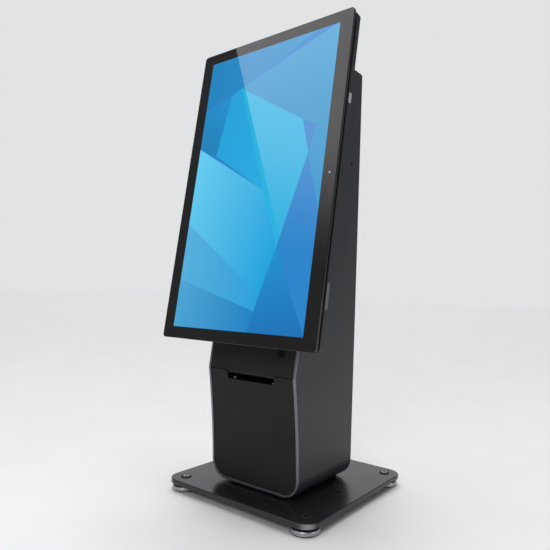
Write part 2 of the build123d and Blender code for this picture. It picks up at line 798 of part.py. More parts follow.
def printer_door():
    """The drop-down door: a curved panel with flanges, pivot bosses and the paper notch."""
    door = front_layer(PANEL_SETBACK, PANEL_WALL) & door_outline()
    flange_z = (PIVOT_Z - PIVOT_BOSS_D, SEAM_Z - SEAM_GAP / 2 - DOOR_FLANGE_SHORT)
    door += panel_flanges(flange_z)
    web_y = (door_inner_y(PIVOT_Z) - PANEL_WALL / 2, pivot_y)
    web_z = (PIVOT_Z - PIVOT_BOSS_D / 2, PIVOT_Z + PIVOT_BOSS_D / 2)
    for x in both_sides(panel_half - PIVOT_BOSS_LENGTH, panel_half):
        door += rod_x(PIVOT_BOSS_D, x, pivot_y, PIVOT_Z) + block(x, web_y, web_z)
        door -= rod_x(PIVOT_D, x, pivot_y, PIVOT_Z)
    notch_z = (slot_bottom, SEAM_Z)
    door -= block((-SLOT_WIDTH / 2, SLOT_WIDTH / 2), (-FAR, pivot_y), notch_z)
    return soften_front(door, PANEL_SETBACK)


def door_pivots():
    """The two pins that the door swings on, pressed into its bosses."""
    stretches = both_sides(panel_half - PIVOT_BOSS_LENGTH, shell_inner + PIVOT_SEAT)
    return group(rod_x(PIVOT_D, x, pivot_y, PIVOT_Z) for x in stretches)


def paper_chute():
    """The open channel behind the notch that guides the receipt out."""
    half = SLOT_WIDTH / 2
    top = SEAM_Z - SEAM_GAP
    y = (door_inner_y(slot_bottom) - CHUTE_LAP, door_inner_y(slot_bottom) + CHUTE_DEPTH)
    chute = block((-half - CHUTE_WALL, half + CHUTE_WALL), y, (slot_bottom - CHUTE_WALL, top))
    chute -= block((-half, half), (-FAR, FAR), (slot_bottom, SEAM_Z))
    return chute - column_front_solid(PANEL_SETBACK + PANEL_WALL)


def door_catch():
    """The hooked bracket on the door that the lock's cam holds."""
    middle = lock_x + CATCH_OFFSET
    x = (middle - CATCH_WIDTH / 2, middle + CATCH_WIDTH / 2)
    cam_tip = (LOCK * Pos(0, cam_front + CAM_THICK, -CAM_LENGTH)).position
    lip_y = (cam_tip.Y + CATCH_GAP, cam_tip.Y + CATCH_GAP + CATCH_WALL)
    shelf_z = (cam_tip.Z - CATCH_DROP - CATCH_WALL, cam_tip.Z - CATCH_DROP)
    door_y = door_inner_y(shelf_z[0])
    catch = block(x, (door_y - CATCH_WALL, lip_y[1]), shelf_z)
    catch += block(x, lip_y, (shelf_z[0], cam_tip.Z + CATCH_OVERLAP))
    catch += block(x, (door_y - CATCH_WALL, door_y + CATCH_WALL), (shelf_z[0] - CATCH_FOOT, shelf_z[1]))
    return catch - column_front_solid(PANEL_SETBACK + PANEL_WALL)


def tear_bar():
    """The saw-toothed strip above the slot that the receipt is torn against."""
    count = int(SLOT_WIDTH // TOOTH_PITCH)
    half = count * TOOTH_PITCH / 2
    top = SEAM_Z + SEAM_GAP / 2
    root = top - TEAR_BAR_HEIGHT
    outline = [(half, top), (-half, top), (-half, root)]
    for number in range(count):
        x = -half + number * TOOTH_PITCH
        outline += [(x + TOOTH_PITCH / 2, root - TOOTH_DEPTH), (x + TOOTH_PITCH, root)]
    y = front_y(SEAM_Z) + PANEL_SETBACK + PANEL_WALL + TEAR_BAR_BEHIND
    face = make_face(Polyline(*outline, close=True))
    return Pos(0, y + TEAR_BAR_THICK, 0) * extrude(Plane.XZ * face, TEAR_BAR_THICK)


# ---------------------------------------------------------------- receipt printer


def tray_screw_xs():
    return (TRAY_SCREW_INSET - printer_half, printer_half - TRAY_SCREW_INSET)


def printer_tray():
    """The shelf that carries the printer, screwed to the spine's web."""
    x = (-printer_half - TRAY_SIDE_ROOM, printer_half + TRAY_SIDE_ROOM)
    bottom = PRINTER_BOTTOM_Z - TRAY_WALL
    upright_y = (spine_rear - TRAY_WALL, spine_rear)
    tray = block(x, (printer_low_front, spine_rear), (bottom, PRINTER_BOTTOM_Z))
    tray += block(x, upright_y, (bottom, bottom + TRAY_UPRIGHT))
    for screw_x in tray_screw_xs():
        tray -= rod_y(REAR_SCREW_D + HOLE_FIT, screw_x, upright_y, tray_screw_z)
    return tray


def tray_screws():
    screw = Rot(90, 0, 0) * socket_screw(REAR_SCREW_D, TRAY_WALL + SHEET)
    return group(Pos(x, spine_rear - TRAY_WALL, tray_screw_z) * screw for x in tray_screw_xs())


def printer_side(x):
    """One side plate of the printer, whose front steps back below so the door can swing."""
    outline = Polyline(
        (printer_low_front, PRINTER_BOTTOM_Z),
        (PRINTER_REAR_Y, PRINTER_BOTTOM_Z),
        (PRINTER_REAR_Y, PRINTER_STEP_Z[1]),
        (LID_HINGE_Y + LID_PIN_D + LID_EYE, printer_top_z),
        (PRINTER_FRONT_Y, printer_top_z),
        (PRINTER_FRONT_Y, PRINTER_STEP_Z[1]),
        (printer_low_front, PRINTER_STEP_Z[0]),
        close=True,
    )
    plate = extrude(Plane.YZ * make_face(outline), PRINTER_WALL)
    return Pos(x, 0, 0) * plate


def printer_chassis():
    """Two side plates on a floor, with bores for the roll's spindle and the lid's pin."""
    wide = (-printer_half, printer_half)
    floor_z = (PRINTER_BOTTOM_Z, PRINTER_BOTTOM_Z + PRINTER_WALL)
    chassis = block(wide, (printer_low_front, PRINTER_REAR_Y), floor_z)
    chassis += printer_side(-printer_half) + printer_side(printer_half - PRINTER_WALL)
    chassis -= rod_x(SPINDLE_D, wide, ROLL_Y, ROLL_Z)
    chassis -= rod_x(LID_PIN_D, wide, LID_HINGE_Y, lid_hinge_z)
    return chassis - rod_x(PLATEN_SHAFT_D + 2 * PIN_FIT, wide, PLATEN_Y, platen_z)


def roll_spindle():
    """The fixed rod that carries the paper roll."""
    return rod_x(SPINDLE_D, (-printer_half, printer_half), ROLL_Y, ROLL_Z)


def roll_core():
    """The cardboard tube at the middle of the roll, which turns on the spindle."""
    x = (-ROLL_WIDTH / 2, ROLL_WIDTH / 2)
    tube = rod_x(ROLL_CORE_D, x, ROLL_Y, ROLL_Z)
    return tube - rod_x(SPINDLE_D + 2 * SPINDLE_FIT, x, ROLL_Y, ROLL_Z)


def paper_roll():
    x = (-ROLL_WIDTH / 2, ROLL_WIDTH / 2)
    return rod_x(ROLL_D, x, ROLL_Y, ROLL_Z) - rod_x(ROLL_CORE_D, x, ROLL_Y, ROLL_Z)


def printer_lid():
    """The loading lid: a top plate with two cheeks that carry the print head, on a rear pin."""
    low, high = head_z()
    top = high + LID_WALL
    front = PRINTER_FRONT_Y + LID_FRONT_GAP
    notch_y = front + CUTTER_THICK
    lid = block((-lid_half, lid_half), (front, LID_HINGE_Y), (high, top))
    outline = make_face(
        Polyline(
            (front, top),
            (LID_HINGE_Y, top),
            (LID_HINGE_Y, lid_hinge_z - LID_PIN_D),
            (PLATEN_Y + PLATEN_D, low + HEAD_BASE / 2),
            (notch_y, low + HEAD_BASE / 2),
            (notch_y, nip_z + CUTTER_RISE + LID_CUTTER_GAP),
            (front, nip_z + CUTTER_RISE + LID_CUTTER_GAP),
            close=True,
        )
    )
    for x in (-lid_half, lid_half - LID_CHEEK):
        lid += Pos(x, 0, 0) * extrude(Plane.YZ * outline, LID_CHEEK)
        lid += rod_x(LID_PIN_D + 2 * LID_EYE, (x, x + LID_CHEEK), LID_HINGE_Y, lid_hinge_z)
    return lid - rod_x(LID_PIN_D + 2 * PIN_FIT, (-lid_half, lid_half), LID_HINGE_Y, lid_hinge_z)


def lid_pin():
    """The rod that the lid swings on, fixed in the chassis."""
    return rod_x(LID_PIN_D, (-printer_half, printer_half), LID_HINGE_Y, lid_hinge_z)


def platen_shaft():
    """The platen's steel shaft, with a flat at one end for its gear."""
    shaft = rod_x(PLATEN_SHAFT_D, (-printer_half, printer_half), PLATEN_Y, platen_z)
    flat_x = (platen_half + 2 * EDGE_BREAK, printer_half - PRINTER_WALL - 2 * EDGE_BREAK)
    flat_y = (PLATEN_Y - PLATEN_SHAFT_D, PLATEN_Y + PLATEN_SHAFT_D)
    return shaft - block(flat_x, flat_y, (platen_z + PLATEN_FLAT, platen_z + PLATEN_SHAFT_D))


def platen_roller():
    x = (-platen_half, platen_half)
    return rod_x(PLATEN_D, x, PLATEN_Y, platen_z) - rod_x(PLATEN_SHAFT_D, x, PLATEN_Y, platen_z)


def head_z():
    """Heights of the print head, from just above the platen up to the lid."""
    return (nip_z + HEAD_GAP, lid_hinge_z + LID_EYE)


def print_head():
    """The thermal print bar over the platen, with cooling fins up to the lid."""
    x = (-platen_half, platen_half)
    low, high = head_z()
    front = PLATEN_Y + HEAD_Y[0]
    head = block(x, (front, PLATEN_Y + HEAD_Y[1]), (low, low + HEAD_BASE))
    for number in range(HEAD_FIN_COUNT):
        y = front + number * HEAD_FIN_PITCH
        head += block(x, (y, y + HEAD_FIN_THICK), (low + HEAD_BASE, high))
    bar_half = lid_half - LID_CHEEK
    bar_y = (front + HEAD_FIN_PITCH, front + HEAD_FIN_PITCH + HEAD_FIN_THICK)
    return head + block((-bar_half, bar_half), bar_y, (low + HEAD_BASE, high))


def paper_cutter():
    """The cutter unit in front of the platen, with a slit for the paper."""
    half = printer_half - PRINTER_WALL
    y = (PRINTER_FRONT_Y, PRINTER_FRONT_Y + CUTTER_THICK)
    unit = block((-half, half), y, (nip_z - CUTTER_DROP, nip_z + CUTTER_RISE))
    slit_z = (nip_z + CUTTER_SLIT[0], nip_z + CUTTER_SLIT[1])
    return unit - block((-platen_half, platen_half), y, slit_z)


def feed_motor():
    """The stepper motor that turns the platen, on the left side plate."""
    left = -printer_half + PRINTER_WALL
    y, z = PLATEN_Y + MOTOR_FROM_PLATEN[0], platen_z + MOTOR_FROM_PLATEN[1]
    ear_y, ear_z = MOTOR_EAR
    ears = block((left, left + 1), (y - ear_y, y + ear_y), (z - ear_z, z + ear_z))
    return ears + rod_x(MOTOR_D, (left + 1, left + 1 + MOTOR_LENGTH), y, z)


# ---------------------------------------------------------------- power supply


def power_supply():
    """The sealed power brick on the spine's web."""
    y = (spine_rear - BRICK_DEPTH, spine_rear)
    bottom = SPINE_STEP_Z + BRICK_ABOVE_STEP
    brick = block((-BRICK_HALF_WIDTH, BRICK_HALF_WIDTH), y, (bottom, bottom + BRICK_HEIGHT))
    return fillet(brick.edges().filter_by(Axis.Z), BRICK_CORNER_R)


def power_supply_strap():
    """The steel strap that holds the power brick to the web."""
    middle = SPINE_STEP_Z + BRICK_ABOVE_STEP + BRICK_HEIGHT / 2
    z = (middle - STRAP_HALF_HEIGHT, middle + STRAP_HALF_HEIGHT)
    outer = BRICK_HALF_WIDTH + STRAP_WALL
    front = spine_rear - BRICK_DEPTH
    strap = block((-outer, outer), (front - STRAP_WALL, spine_rear), z)
    strap -= block((-BRICK_HALF_WIDTH, BRICK_HALF_WIDTH), (front, spine_rear), z)
    for x in both_sides(outer, STRAP_REACH):
        strap += block(x, (spine_rear - STRAP_WALL, spine_rear), z)
    return strap


# ---------------------------------------------------------------- display mount


def vesa_places():
    half = VESA_PITCH / 2
    return [(x, z) for x in (-half, half) for z in (-half, half)]


def bracket_screw_places():
    return [(side, z) for side in (-1, 1) for z in (-BRACKET_SCREW_Z, BRACKET_SCREW_Z)]


def bracket_screw_y():
    return MOUNT_DEPTH + SPINE_SETBACK + BRACKET_SCREW_BEHIND


def bracket_screw_hole(side, z):
    """A hole through one side flange of the bracket and the spine beside it."""
    inner = spine_inner_half - BRACKET_FLANGE
    low, high = sorted((side * inner, side * spine_half))
    return rod_x(VESA_SCREW_D, (low, high), bracket_screw_y(), z)


def vesa_bracket():
    """The folded bracket that joins the display's back to the spine."""
    half = spine_inner_half
    inner = half - BRACKET_FLANGE
    z = (-BRACKET_HEIGHT / 2, BRACKET_HEIGHT / 2)
    web = (cover_rear, cover_rear + BRACKET_WALL)
    bracket = block((-half, half), (cover_rear, cover_rear + BRACKET_REACH), z)
    bracket -= block((-inner, inner), (web[1], FAR), z)
    for x, screw_z in vesa_places():
        bracket -= rod_y(VESA_SCREW_D + HOLE_FIT, x, web, screw_z)
    bracket -= rod_y(VESA_PITCH / 2, 0, web, 0)
    for side, z in bracket_screw_places():
        bracket -= bracket_screw_hole(side, z)
    return DISPLAY * bracket


def vesa_screws():
    screw = Rot(-90, 0, 0) * socket_screw(VESA_SCREW_D, BRACKET_WALL + COVER_WALL + VESA_SCREW_PAST)
    return group(DISPLAY * Pos(x, cover_rear + BRACKET_WALL, z) * screw for x, z in vesa_places())


def bracket_screws():
    screws = []
    for side, z in bracket_screw_places():
        screw = socket_screw(VESA_SCREW_D, SHEET + BRACKET_FLANGE)
        place = Pos(side * spine_half, bracket_screw_y(), z) * Rot(0, 90 * side, 0)
        screws.append(DISPLAY * place * screw)
    return group(screws)


# ---------------------------------------------------------------- display


def display_glass():
    glass = slab(glass_w, glass_h, GLASS_CORNER_R, (0, GLASS_THICK))
    glass = chamfer(glass.edges().group_by(Axis.Y)[0], EDGE_BREAK)
    return DISPLAY * (glass - rod_y(LED_D, led_x, (0, GLASS_THICK), 0))


def status_led():
    """The small clear lens in the glass's right border."""
    return DISPLAY * rod_y(LED_D, led_x, (LED_SUNK, GLASS_THICK), 0)


def around_screen(ledge, radius, y):
    """A slab that reaches past the lit screen by a ledge on every side."""
    return slab(ACTIVE_W + 2 * ledge[0], ACTIVE_H + 2 * ledge[1], radius, y)


def inside_glass(inset, y):
    """A slab with the glass's outline, drawn in by an inset."""
    return slab(glass_w - 2 * inset, glass_h - 2 * inset, GLASS_CORNER_R, y)


def front_frame():
    """The frame that the glass is bonded to."""
    y = (GLASS_THICK, frame_rear)
    return DISPLAY * (inside_glass(FRONT_FRAME_INSET, y) - around_screen(FRONT_FRAME_LEDGE, LEDGE_R, y))


def mid_frame():
    """The recessed dark frame between the front frame and the rear cover."""
    y = (frame_rear, midframe_rear)
    return DISPLAY * (inside_glass(MIDFRAME_INSET, y) - around_screen(MIDFRAME_LEDGE, LEDGE_R, y))


def lcd_panel():
    """The liquid-crystal cell, held just behind the glass."""
    return DISPLAY * around_screen(LCD_LEDGE, LEDGE_R / 2, (GLASS_THICK, GLASS_THICK + LCD_THICK))


def backlight():
    """The clear light guide behind the cell, with its reflector."""
    y = (GLASS_THICK + LCD_THICK, backlight_rear)
    return DISPLAY * around_screen(BACKLIGHT_LEDGE, LEDGE_R / 2, y)


def tapered(width, height, radius, back_w, back_h, back_r, y):
    """A block whose outline shrinks from front to back."""
    front = Plane((0, y[0], 0), x_dir=(1, 0, 0), z_dir=(0, 1, 0)) * RectangleRounded(width, height, radius)
    back = Plane((0, y[1], 0), x_dir=(1, 0, 0), z_dir=(0, 1, 0)) * RectangleRounded(back_w, back_h, back_r)
    return loft([front, back])


def cover_form(inset):
    """The rear cover's form, grown inwards by an inset."""
    width, height = cover_w - 2 * inset, cover_h - 2 * inset
    corner = GLASS_CORNER_R - inset / 2
    rim = slab(width, height, corner, (midframe_rear, cover_rim_rear))
    back_w, back_h = width - 2 * COVER_TAPER[0], height - 2 * COVER_TAPER[1]
    back_r = COVER_BACK_R - inset
    taper_y = (cover_rim_rear, cover_rear - inset)
    return rim + tapered(width, height, corner, back_w, back_h, back_r, taper_y)


def pill(length, width, x, z):
    """A round-ended bar along Z that sticks out sideways between the limits x."""
    face = Plane((x[0], side_fitting_y, z), x_dir=(0, 0, 1), z_dir=(1, 0, 0)) * SlotOverall(length, width)
    return extrude(face, x[1] - x[0])


def display_rear_cover():
    """The moulded back of the display, with vents, mounting bosses and side openings."""
    cover = cover_form(0) - cover_form(COVER_WALL)
    boss_y = (cover_rear - COVER_WALL - COVER_BOSS_LENGTH, cover_rear)
    for x, z in vesa_places():
        cover += rod_y(COVER_BOSS_D, x, boss_y, z)
        cover -= rod_y(VESA_SCREW_D, x, boss_y, z)
    slot_face = SlotOverall(COVER_VENT_LENGTH, COVER_VENT_WIDTH, rotation=90)
    slot = extrude(Plane.XZ * slot_face, COVER_WALL)
    top_row = cover_h / 2 - COVER_TAPER[1] - COVER_VENT_TOP
    for x in spaced(COVER_VENT_COUNT, COVER_VENT_PITCH):
        for z in (top_row, top_row - COVER_VENT_STEP):
            cover -= Pos(x, cover_rear, z) * slot
    wall = (cover_w / 2 - COVER_WALL, cover_w / 2)
    cover -= pill(BUTTON_LENGTH + 2 * SIDE_FIT, BUTTON_WIDTH + 2 * SIDE_FIT, wall, BUTTON_Z)
    cover -= pill(PORT_LENGTH, PORT_WIDTH, wall, PORT_Z)
    return DISPLAY * cover


def main_board():
    """The computer board, with its processor's heat sink and a row of connectors."""
    face = board_front + BOARD_THICK
    board = block(BOARD_X, (board_front, face), BOARD_Z)
    sink_z = (SINK_CENTRE_Z - SINK_SIZE / 2, SINK_CENTRE_Z + SINK_SIZE / 2)
    board += block((-SINK_SIZE / 2, SINK_SIZE / 2), (face, face + SINK_BASE), sink_z)
    fin_y = (face + SINK_BASE, face + SINK_BASE + FIN_HEIGHT)
    for middle in spaced(FIN_COUNT, FIN_PITCH):
        board += block((middle - FIN_THICK / 2, middle + FIN_THICK / 2), fin_y, sink_z)
    connector_z = (BOARD_Z[0], BOARD_Z[0] + CONNECTOR_DEPTH)
    for middle in spaced(CONNECTOR_COUNT, CONNECTOR_PITCH):
        x = (middle - CONNECTOR_WIDTH / 2, middle + CONNECTOR_WIDTH / 2)
        board += block(x, (face, face + CONNECTOR_HEIGHT), connector_z)
    return DISPLAY * board


def board_posts():
    """Hexagonal posts that hold the board off the backlight's tray."""
    post = Rot(-90, 0, 0) * hexagon(POST_WIDTH, BOARD_STANDOFF)
    xs = (BOARD_X[0] + POST_INSET, BOARD_X[1] - POST_INSET)
    zs = (BOARD_Z[0] + POST_INSET, BOARD_Z[1] - POST_INSET)
    return group(DISPLAY * Pos(x, backlight_rear, z) * post for x in xs for z in zs)


def speakers():
    """Two slim loudspeakers low in the display."""
    back = backlight_rear + SPEAKER_THICK
    half_x, half_z = SPEAKER_SIZE[0] / 2, SPEAKER_SIZE[1] / 2
    z = (SPEAKER_Z - half_z, SPEAKER_Z + half_z)
    units = []
    for x in (-SPEAKER_X, SPEAKER_X):
        case = block((x - half_x, x + half_x), (backlight_rear, back), z)
        cone = rod_y(SPEAKER_CONE_D, x, (back, back + SPEAKER_CONE_RISE), SPEAKER_Z)
        units.append(DISPLAY * (case + cone))
    return group(units)


def power_button():
    """The round-ended button in the display's right side, with a flange that keeps it in."""
    outer = cover_w / 2 + BUTTON_TRAVEL + BUTTON_LEFT_PROUD
    wall_inside = cover_w / 2 - COVER_WALL
    flange_x = (wall_inside - BUTTON_FLANGE_THICK, wall_inside - PIN_FIT)
    cap = pill(BUTTON_LENGTH, BUTTON_WIDTH, (flange_x[0], outer), BUTTON_Z)
    cap = fillet(cap.edges().group_by(Axis.X)[-1], BUTTON_EDGE_R)
    grow = 2 * BUTTON_FLANGE
    return DISPLAY * (cap + pill(BUTTON_LENGTH + grow, BUTTON_WIDTH + grow, flange_x, BUTTON_Z))


def port_cover():
    """The blank cover of the display's side port."""
    outer = cover_w / 2
    inner = outer - PORT_PLATE
    plate = pill(PORT_LENGTH, PORT_WIDTH, (inner, outer + PORT_PROUD), PORT_Z)
    plate = fillet(plate.edges().group_by(Axis.X)[-1], PORT_EDGE_R)
    half_y, half_z = PORT_CLIP[0] / 2, PORT_CLIP[1] / 2
    for end in (-1, 1):
        z = PORT_Z + end * (PORT_LENGTH / 2 - PORT_CLIP_INSET)
        clip_y = (side_fitting_y - half_y, side_fitting_y + half_y)
        plate += block((inner - PORT_CLIP_REACH, inner), clip_y, (z - half_z, z + half_z))
    return DISPLAY * plate


# ---------------------------------------------------------------- the whole kiosk


def kiosk():
    """Every sub-part by the name of its node, before the move to the origin."""
    parts = {
        "base_plate": base_plate(),
        "foot_inserts": foot_inserts(),
        "column_spacer": column_spacer(),
        "column_shell": column_shell(),
        "column_trim": column_trim(),
        "column_screws": column_screws(),
        "spine": spine(),
        "side_inserts": side_inserts(),
        "rear_cover": rear_cover(),
        "rear_cover_screws": rear_cover_screws(),
        "outlet_grommet": outlet_grommet(),
        "top_cap": top_cap(),
        "upper_fascia": upper_fascia(),
        "lock_body": lock_body(),
        "lock_nut": lock_nut(),
        "lock_plug": lock_plug(),
        "lock_cam": lock_cam(),
        "printer_door": printer_door(),
        "door_pivots": door_pivots(),
        "door_catch": door_catch(),
        "paper_chute": paper_chute(),
        "tear_bar": tear_bar(),
        "printer_tray": printer_tray(),
        "tray_screws": tray_screws(),
        "printer_chassis": printer_chassis(),
        "roll_spindle": roll_spindle(),
        "roll_core": roll_core(),
        "paper_roll": paper_roll(),
        "printer_lid": printer_lid(),
        "lid_pin": lid_pin(),
        "platen_shaft": platen_shaft(),
        "platen_roller": platen_roller(),
        "print_head": print_head(),
        "paper_cutter": paper_cutter(),
        "feed_motor": feed_motor(),
        "power_supply": power_supply(),
        "power_supply_strap": power_supply_strap(),
        "vesa_bracket": vesa_bracket(),
        "vesa_screws": vesa_screws(),
        "bracket_screws": bracket_screws(),
        "display_glass": display_glass(),
        "status_led": status_led(),
        "front_frame": front_frame(),
        "mid_frame": mid_frame(),
        "lcd_panel": lcd_panel(),
        "backlight": backlight(),
        "display_rear_cover": display_rear_cover(),
        "main_board": main_board(),
        "board_posts": board_posts(),
        "speakers": speakers(),
        "power_button": power_button(),
        "port_cover": port_cover(),
    }
    for corner, (x, y) in corner_places().items():
        parts["levelling_foot_" + corner] = levelling_foot(x, y)
        parts["foot_sole_" + corner] = foot_sole(x, y)
    return parts


os.makedirs("parts", exist_ok=True)
for name, piece in kiosk().items():
    export_step(ORIGIN * piece, f"parts/{name}.step")
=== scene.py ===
"""A counter-top touchscreen kiosk: portrait display, slim column with a receipt printer, base plate."""

from math import cos, pi, radians, sin

import bmesh
import bpy
from mathutils import Matrix, Vector


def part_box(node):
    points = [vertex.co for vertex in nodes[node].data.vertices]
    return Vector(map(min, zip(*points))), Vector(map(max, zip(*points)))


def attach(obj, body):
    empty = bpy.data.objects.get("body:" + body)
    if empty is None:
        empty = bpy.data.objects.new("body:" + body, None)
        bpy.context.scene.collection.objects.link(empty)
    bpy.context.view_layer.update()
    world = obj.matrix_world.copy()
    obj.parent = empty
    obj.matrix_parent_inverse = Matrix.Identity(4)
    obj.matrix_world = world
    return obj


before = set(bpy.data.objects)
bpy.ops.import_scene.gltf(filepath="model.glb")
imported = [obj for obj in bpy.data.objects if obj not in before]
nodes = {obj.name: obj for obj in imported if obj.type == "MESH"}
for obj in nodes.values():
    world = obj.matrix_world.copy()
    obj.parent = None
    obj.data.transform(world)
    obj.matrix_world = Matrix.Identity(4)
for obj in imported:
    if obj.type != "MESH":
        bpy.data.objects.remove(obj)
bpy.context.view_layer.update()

MM = 0.001

# Colours show as they are written
bpy.context.scene.view_settings.view_transform = "Standard"


def corners_of(name):
    """A node's lowest and highest corners."""
    low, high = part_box(name)
    return Vector(low), Vector(high)


def keep_object(name, shape):
    """Turns a finished bmesh into an object at the origin."""
    mesh = bpy.data.meshes.new(name)
    shape.to_mesh(mesh)
    shape.free()
    kept = bpy.data.objects.new(name, mesh)
    bpy.context.scene.collection.objects.link(kept)
    return kept


# ---------------------------------------------------------------- camera

# Eye point in metres, then how it turns left of straight ahead, tips up and rolls
CAMERA_AT = Vector((0.5437, -0.7314, 0.3345))
CAMERA_TURN = radians(36.59)
CAMERA_TIP = radians(1.11)
CAMERA_ROLL = radians(1.92)
CAMERA_LENS = 33.63
CAMERA_SHIFT = (-0.0325, 0.0210)


def make_camera():
    camera = bpy.data.objects.new("camera", bpy.data.cameras.new("camera"))
    bpy.context.scene.collection.objects.link(camera)
    bpy.context.scene.camera = camera
    camera.data.lens = CAMERA_LENS
    camera.data.shift_x, camera.data.shift_y = CAMERA_SHIFT
    level = cos(CAMERA_TIP)
    ahead = Vector((-sin(CAMERA_TURN) * level, cos(CAMERA_TURN) * level, sin(CAMERA_TIP)))
    right = ahead.cross(Vector((0, 0, 1))).normalized()
    up = right.cross(ahead)
    rolled_right = right * cos(CAMERA_ROLL) + up * sin(CAMERA_ROLL)
    rolled_up = up * cos(CAMERA_ROLL) - right * sin(CAMERA_ROLL)
    turn = Matrix((rolled_right, rolled_up, -ahead)).transposed()
    camera.matrix_world = Matrix.Translation(CAMERA_AT) @ turn.to_4x4()


# ---------------------------------------------------------------- the display's own axes

DISPLAY_TILT = radians(8.5)
GLASS_THICK = 2.8 * MM
SCREEN_UP = Vector((0, sin(DISPLAY_TILT), cos(DISPLAY_TILT)))
INTO_SCREEN = Vector((0, cos(DISPLAY_TILT), -sin(DISPLAY_TILT)))
glass_low, glass_high = corners_of("display_glass")
GLASS_MIDDLE = (glass_low + glass_high) / 2 - INTO_SCREEN * GLASS_THICK / 2


def on_glass(across_mm, up_mm):
    """A point of the glass's front face, from its middle."""
    return GLASS_MIDDLE + Vector((across_mm * MM, 0, 0)) + SCREEN_UP * up_mm * MM


# ---------------------------------------------------------------- how a finish is made


def colour(hex_value):
    """Linear RGBA of an sRGB hex colour such as "3a3a3f"."""
    channels = []
    for start in (0, 2, 4):
        value = int(hex_value[start:start + 2], 16) / 255
        channels.append(value / 12.92 if value <= 0.04045 else ((value + 0.055) / 1.055) ** 2.4)
    return (*channels, 1.0)


def add(tree, kind, inputs=None, **settings):
    """Adds a node: settings are its own properties, inputs are values or sockets to link."""
    node = tree.nodes.new(kind)
    for name, value in settings.items():
        setattr(node, name, value)
    for key, value in (inputs or {}).items():
        if isinstance(value, bpy.types.NodeSocket):
            tree.links.new(value, node.inputs[key])
        else:
            node.inputs[key].default_value = value
    return node


# Sockets of a Mix node set to colours
FACTOR, FIRST, SECOND, MIXED = 0, 6, 7, 2

# A noise keeps near a half, so this much of its range is stretched over the whole of a finish's range
NOISE_LOW, NOISE_HIGH = 0.3, 0.7
NOISE_DETAIL = 3.0
GRAIN_STRENGTH = 0.5


def finish(name, tints, rough, drift_mm, stretch=(1, 1, 1), grain=None, **values):
    """A finish whose tint and roughness drift over patches of drift_mm.

    stretch squeezes the pattern along an axis into long lines, and grain is the size and height in mm
    of a raised grain. The other values are constants, set on the shader itself.
    """
    material = bpy.data.materials.new(name)
    material.use_nodes = True
    tree = material.node_tree
    tree.nodes.clear()
    where = add(tree, "ShaderNodeTexCoord").outputs["Object"]
    spot = add(tree, "ShaderNodeMapping", {"Vector": where, "Scale": stretch}).outputs["Vector"]
    inputs = {"Vector": spot, "Scale": 1 / (drift_mm * MM), "Detail": NOISE_DETAIL}
    drift = add(tree, "ShaderNodeTexNoise", inputs).outputs["Fac"]
    inputs = {"Value": drift, "From Min": NOISE_LOW, "From Max": NOISE_HIGH}
    share = add(tree, "ShaderNodeMapRange", inputs).outputs["Result"]
    inputs = {FACTOR: share, FIRST: colour(tints[0]), SECOND: colour(tints[1])}
    tint = add(tree, "ShaderNodeMix", inputs, data_type="RGBA").outputs[MIXED]
    inputs = {"Value": share, "To Min": rough[0], "To Max": rough[1]}
    polish = add(tree, "ShaderNodeMapRange", inputs).outputs["Result"]
    sockets = {"Base Color": tint, "Roughness": polish, **values}
    if grain:
        size_mm, height_mm = grain
        inputs = {"Vector": spot, "Scale": 1 / (size_mm * MM), "Detail": NOISE_DETAIL}
        lumps = add(tree, "ShaderNodeTexNoise", inputs).outputs["Fac"]
        inputs = {"Height": lumps, "Distance": height_mm * MM, "Strength": GRAIN_STRENGTH}
        sockets["Normal"] = add(tree, "ShaderNodeBump", inputs).outputs["Normal"]
    shader = add(tree, "ShaderNodeBsdfPrincipled", sockets, name="finish")
    add(tree, "ShaderNodeOutputMaterial", {"Surface": shader.outputs["BSDF"]})
    return material


# ---------------------------------------------------------------- the base plate's coat

# How far in from the square corner the painted highlight of bright bare steel on the rim starts and ends,
# along both sides together
CORNER_HIGHLIGHT_SPAN = (10 * MM, 21 * MM)
# How level a face is where the painted highlight on the rim starts and where it is whole, one being level
RIM_LEVELNESS = (0.95, 0.6)
# The colour of the painted highlight on the plate's corner rims: bright steel
HIGHLIGHT_STEEL = "b4b4b8"


def corner_highlight_mask(tree):
    """One on the rim of the base plate's four corners, where bright metal is painted as a highlight, and
    nought elsewhere.
    """
    low, high = corners_of("base_plate")
    where = add(tree, "ShaderNodeTexCoord").outputs["Object"]
    inputs = {0: where, 1: (low + high) / 2}
    centred = add(tree, "ShaderNodeVectorMath", inputs, operation="SUBTRACT").outputs["Vector"]
    folded = add(tree, "ShaderNodeVectorMath", {0: centred}, operation="ABSOLUTE").outputs["Vector"]
    inputs = {0: folded, 1: (1, 1, 0)}
    outward = add(tree, "ShaderNodeVectorMath", inputs, operation="DOT_PRODUCT").outputs["Value"]
    reach = (high.x - low.x + high.y - low.y) / 2
    inputs = {"Value": outward, "From Min": reach - CORNER_HIGHLIGHT_SPAN[1], "From Max": reach - CORNER_HIGHLIGHT_SPAN[0]}
    corner = add(tree, "ShaderNodeMapRange", inputs, interpolation_type="SMOOTHSTEP").outputs["Result"]
    facing = add(tree, "ShaderNodeNewGeometry").outputs["Normal"]
    upward = add(tree, "ShaderNodeSeparateXYZ", {"Vector": facing}).outputs["Z"]
    flatness = add(tree, "ShaderNodeMath", {0: upward}, operation="ABSOLUTE").outputs["Value"]
    inputs = {"Value": flatness, "From Min": RIM_LEVELNESS[0], "From Max": RIM_LEVELNESS[1]}
    rim = add(tree, "ShaderNodeMapRange", inputs)
    inputs = {0: corner, 1: rim.outputs["Result"]}
    return add(tree, "ShaderNodeMath", inputs, operation="MULTIPLY").outputs["Value"]


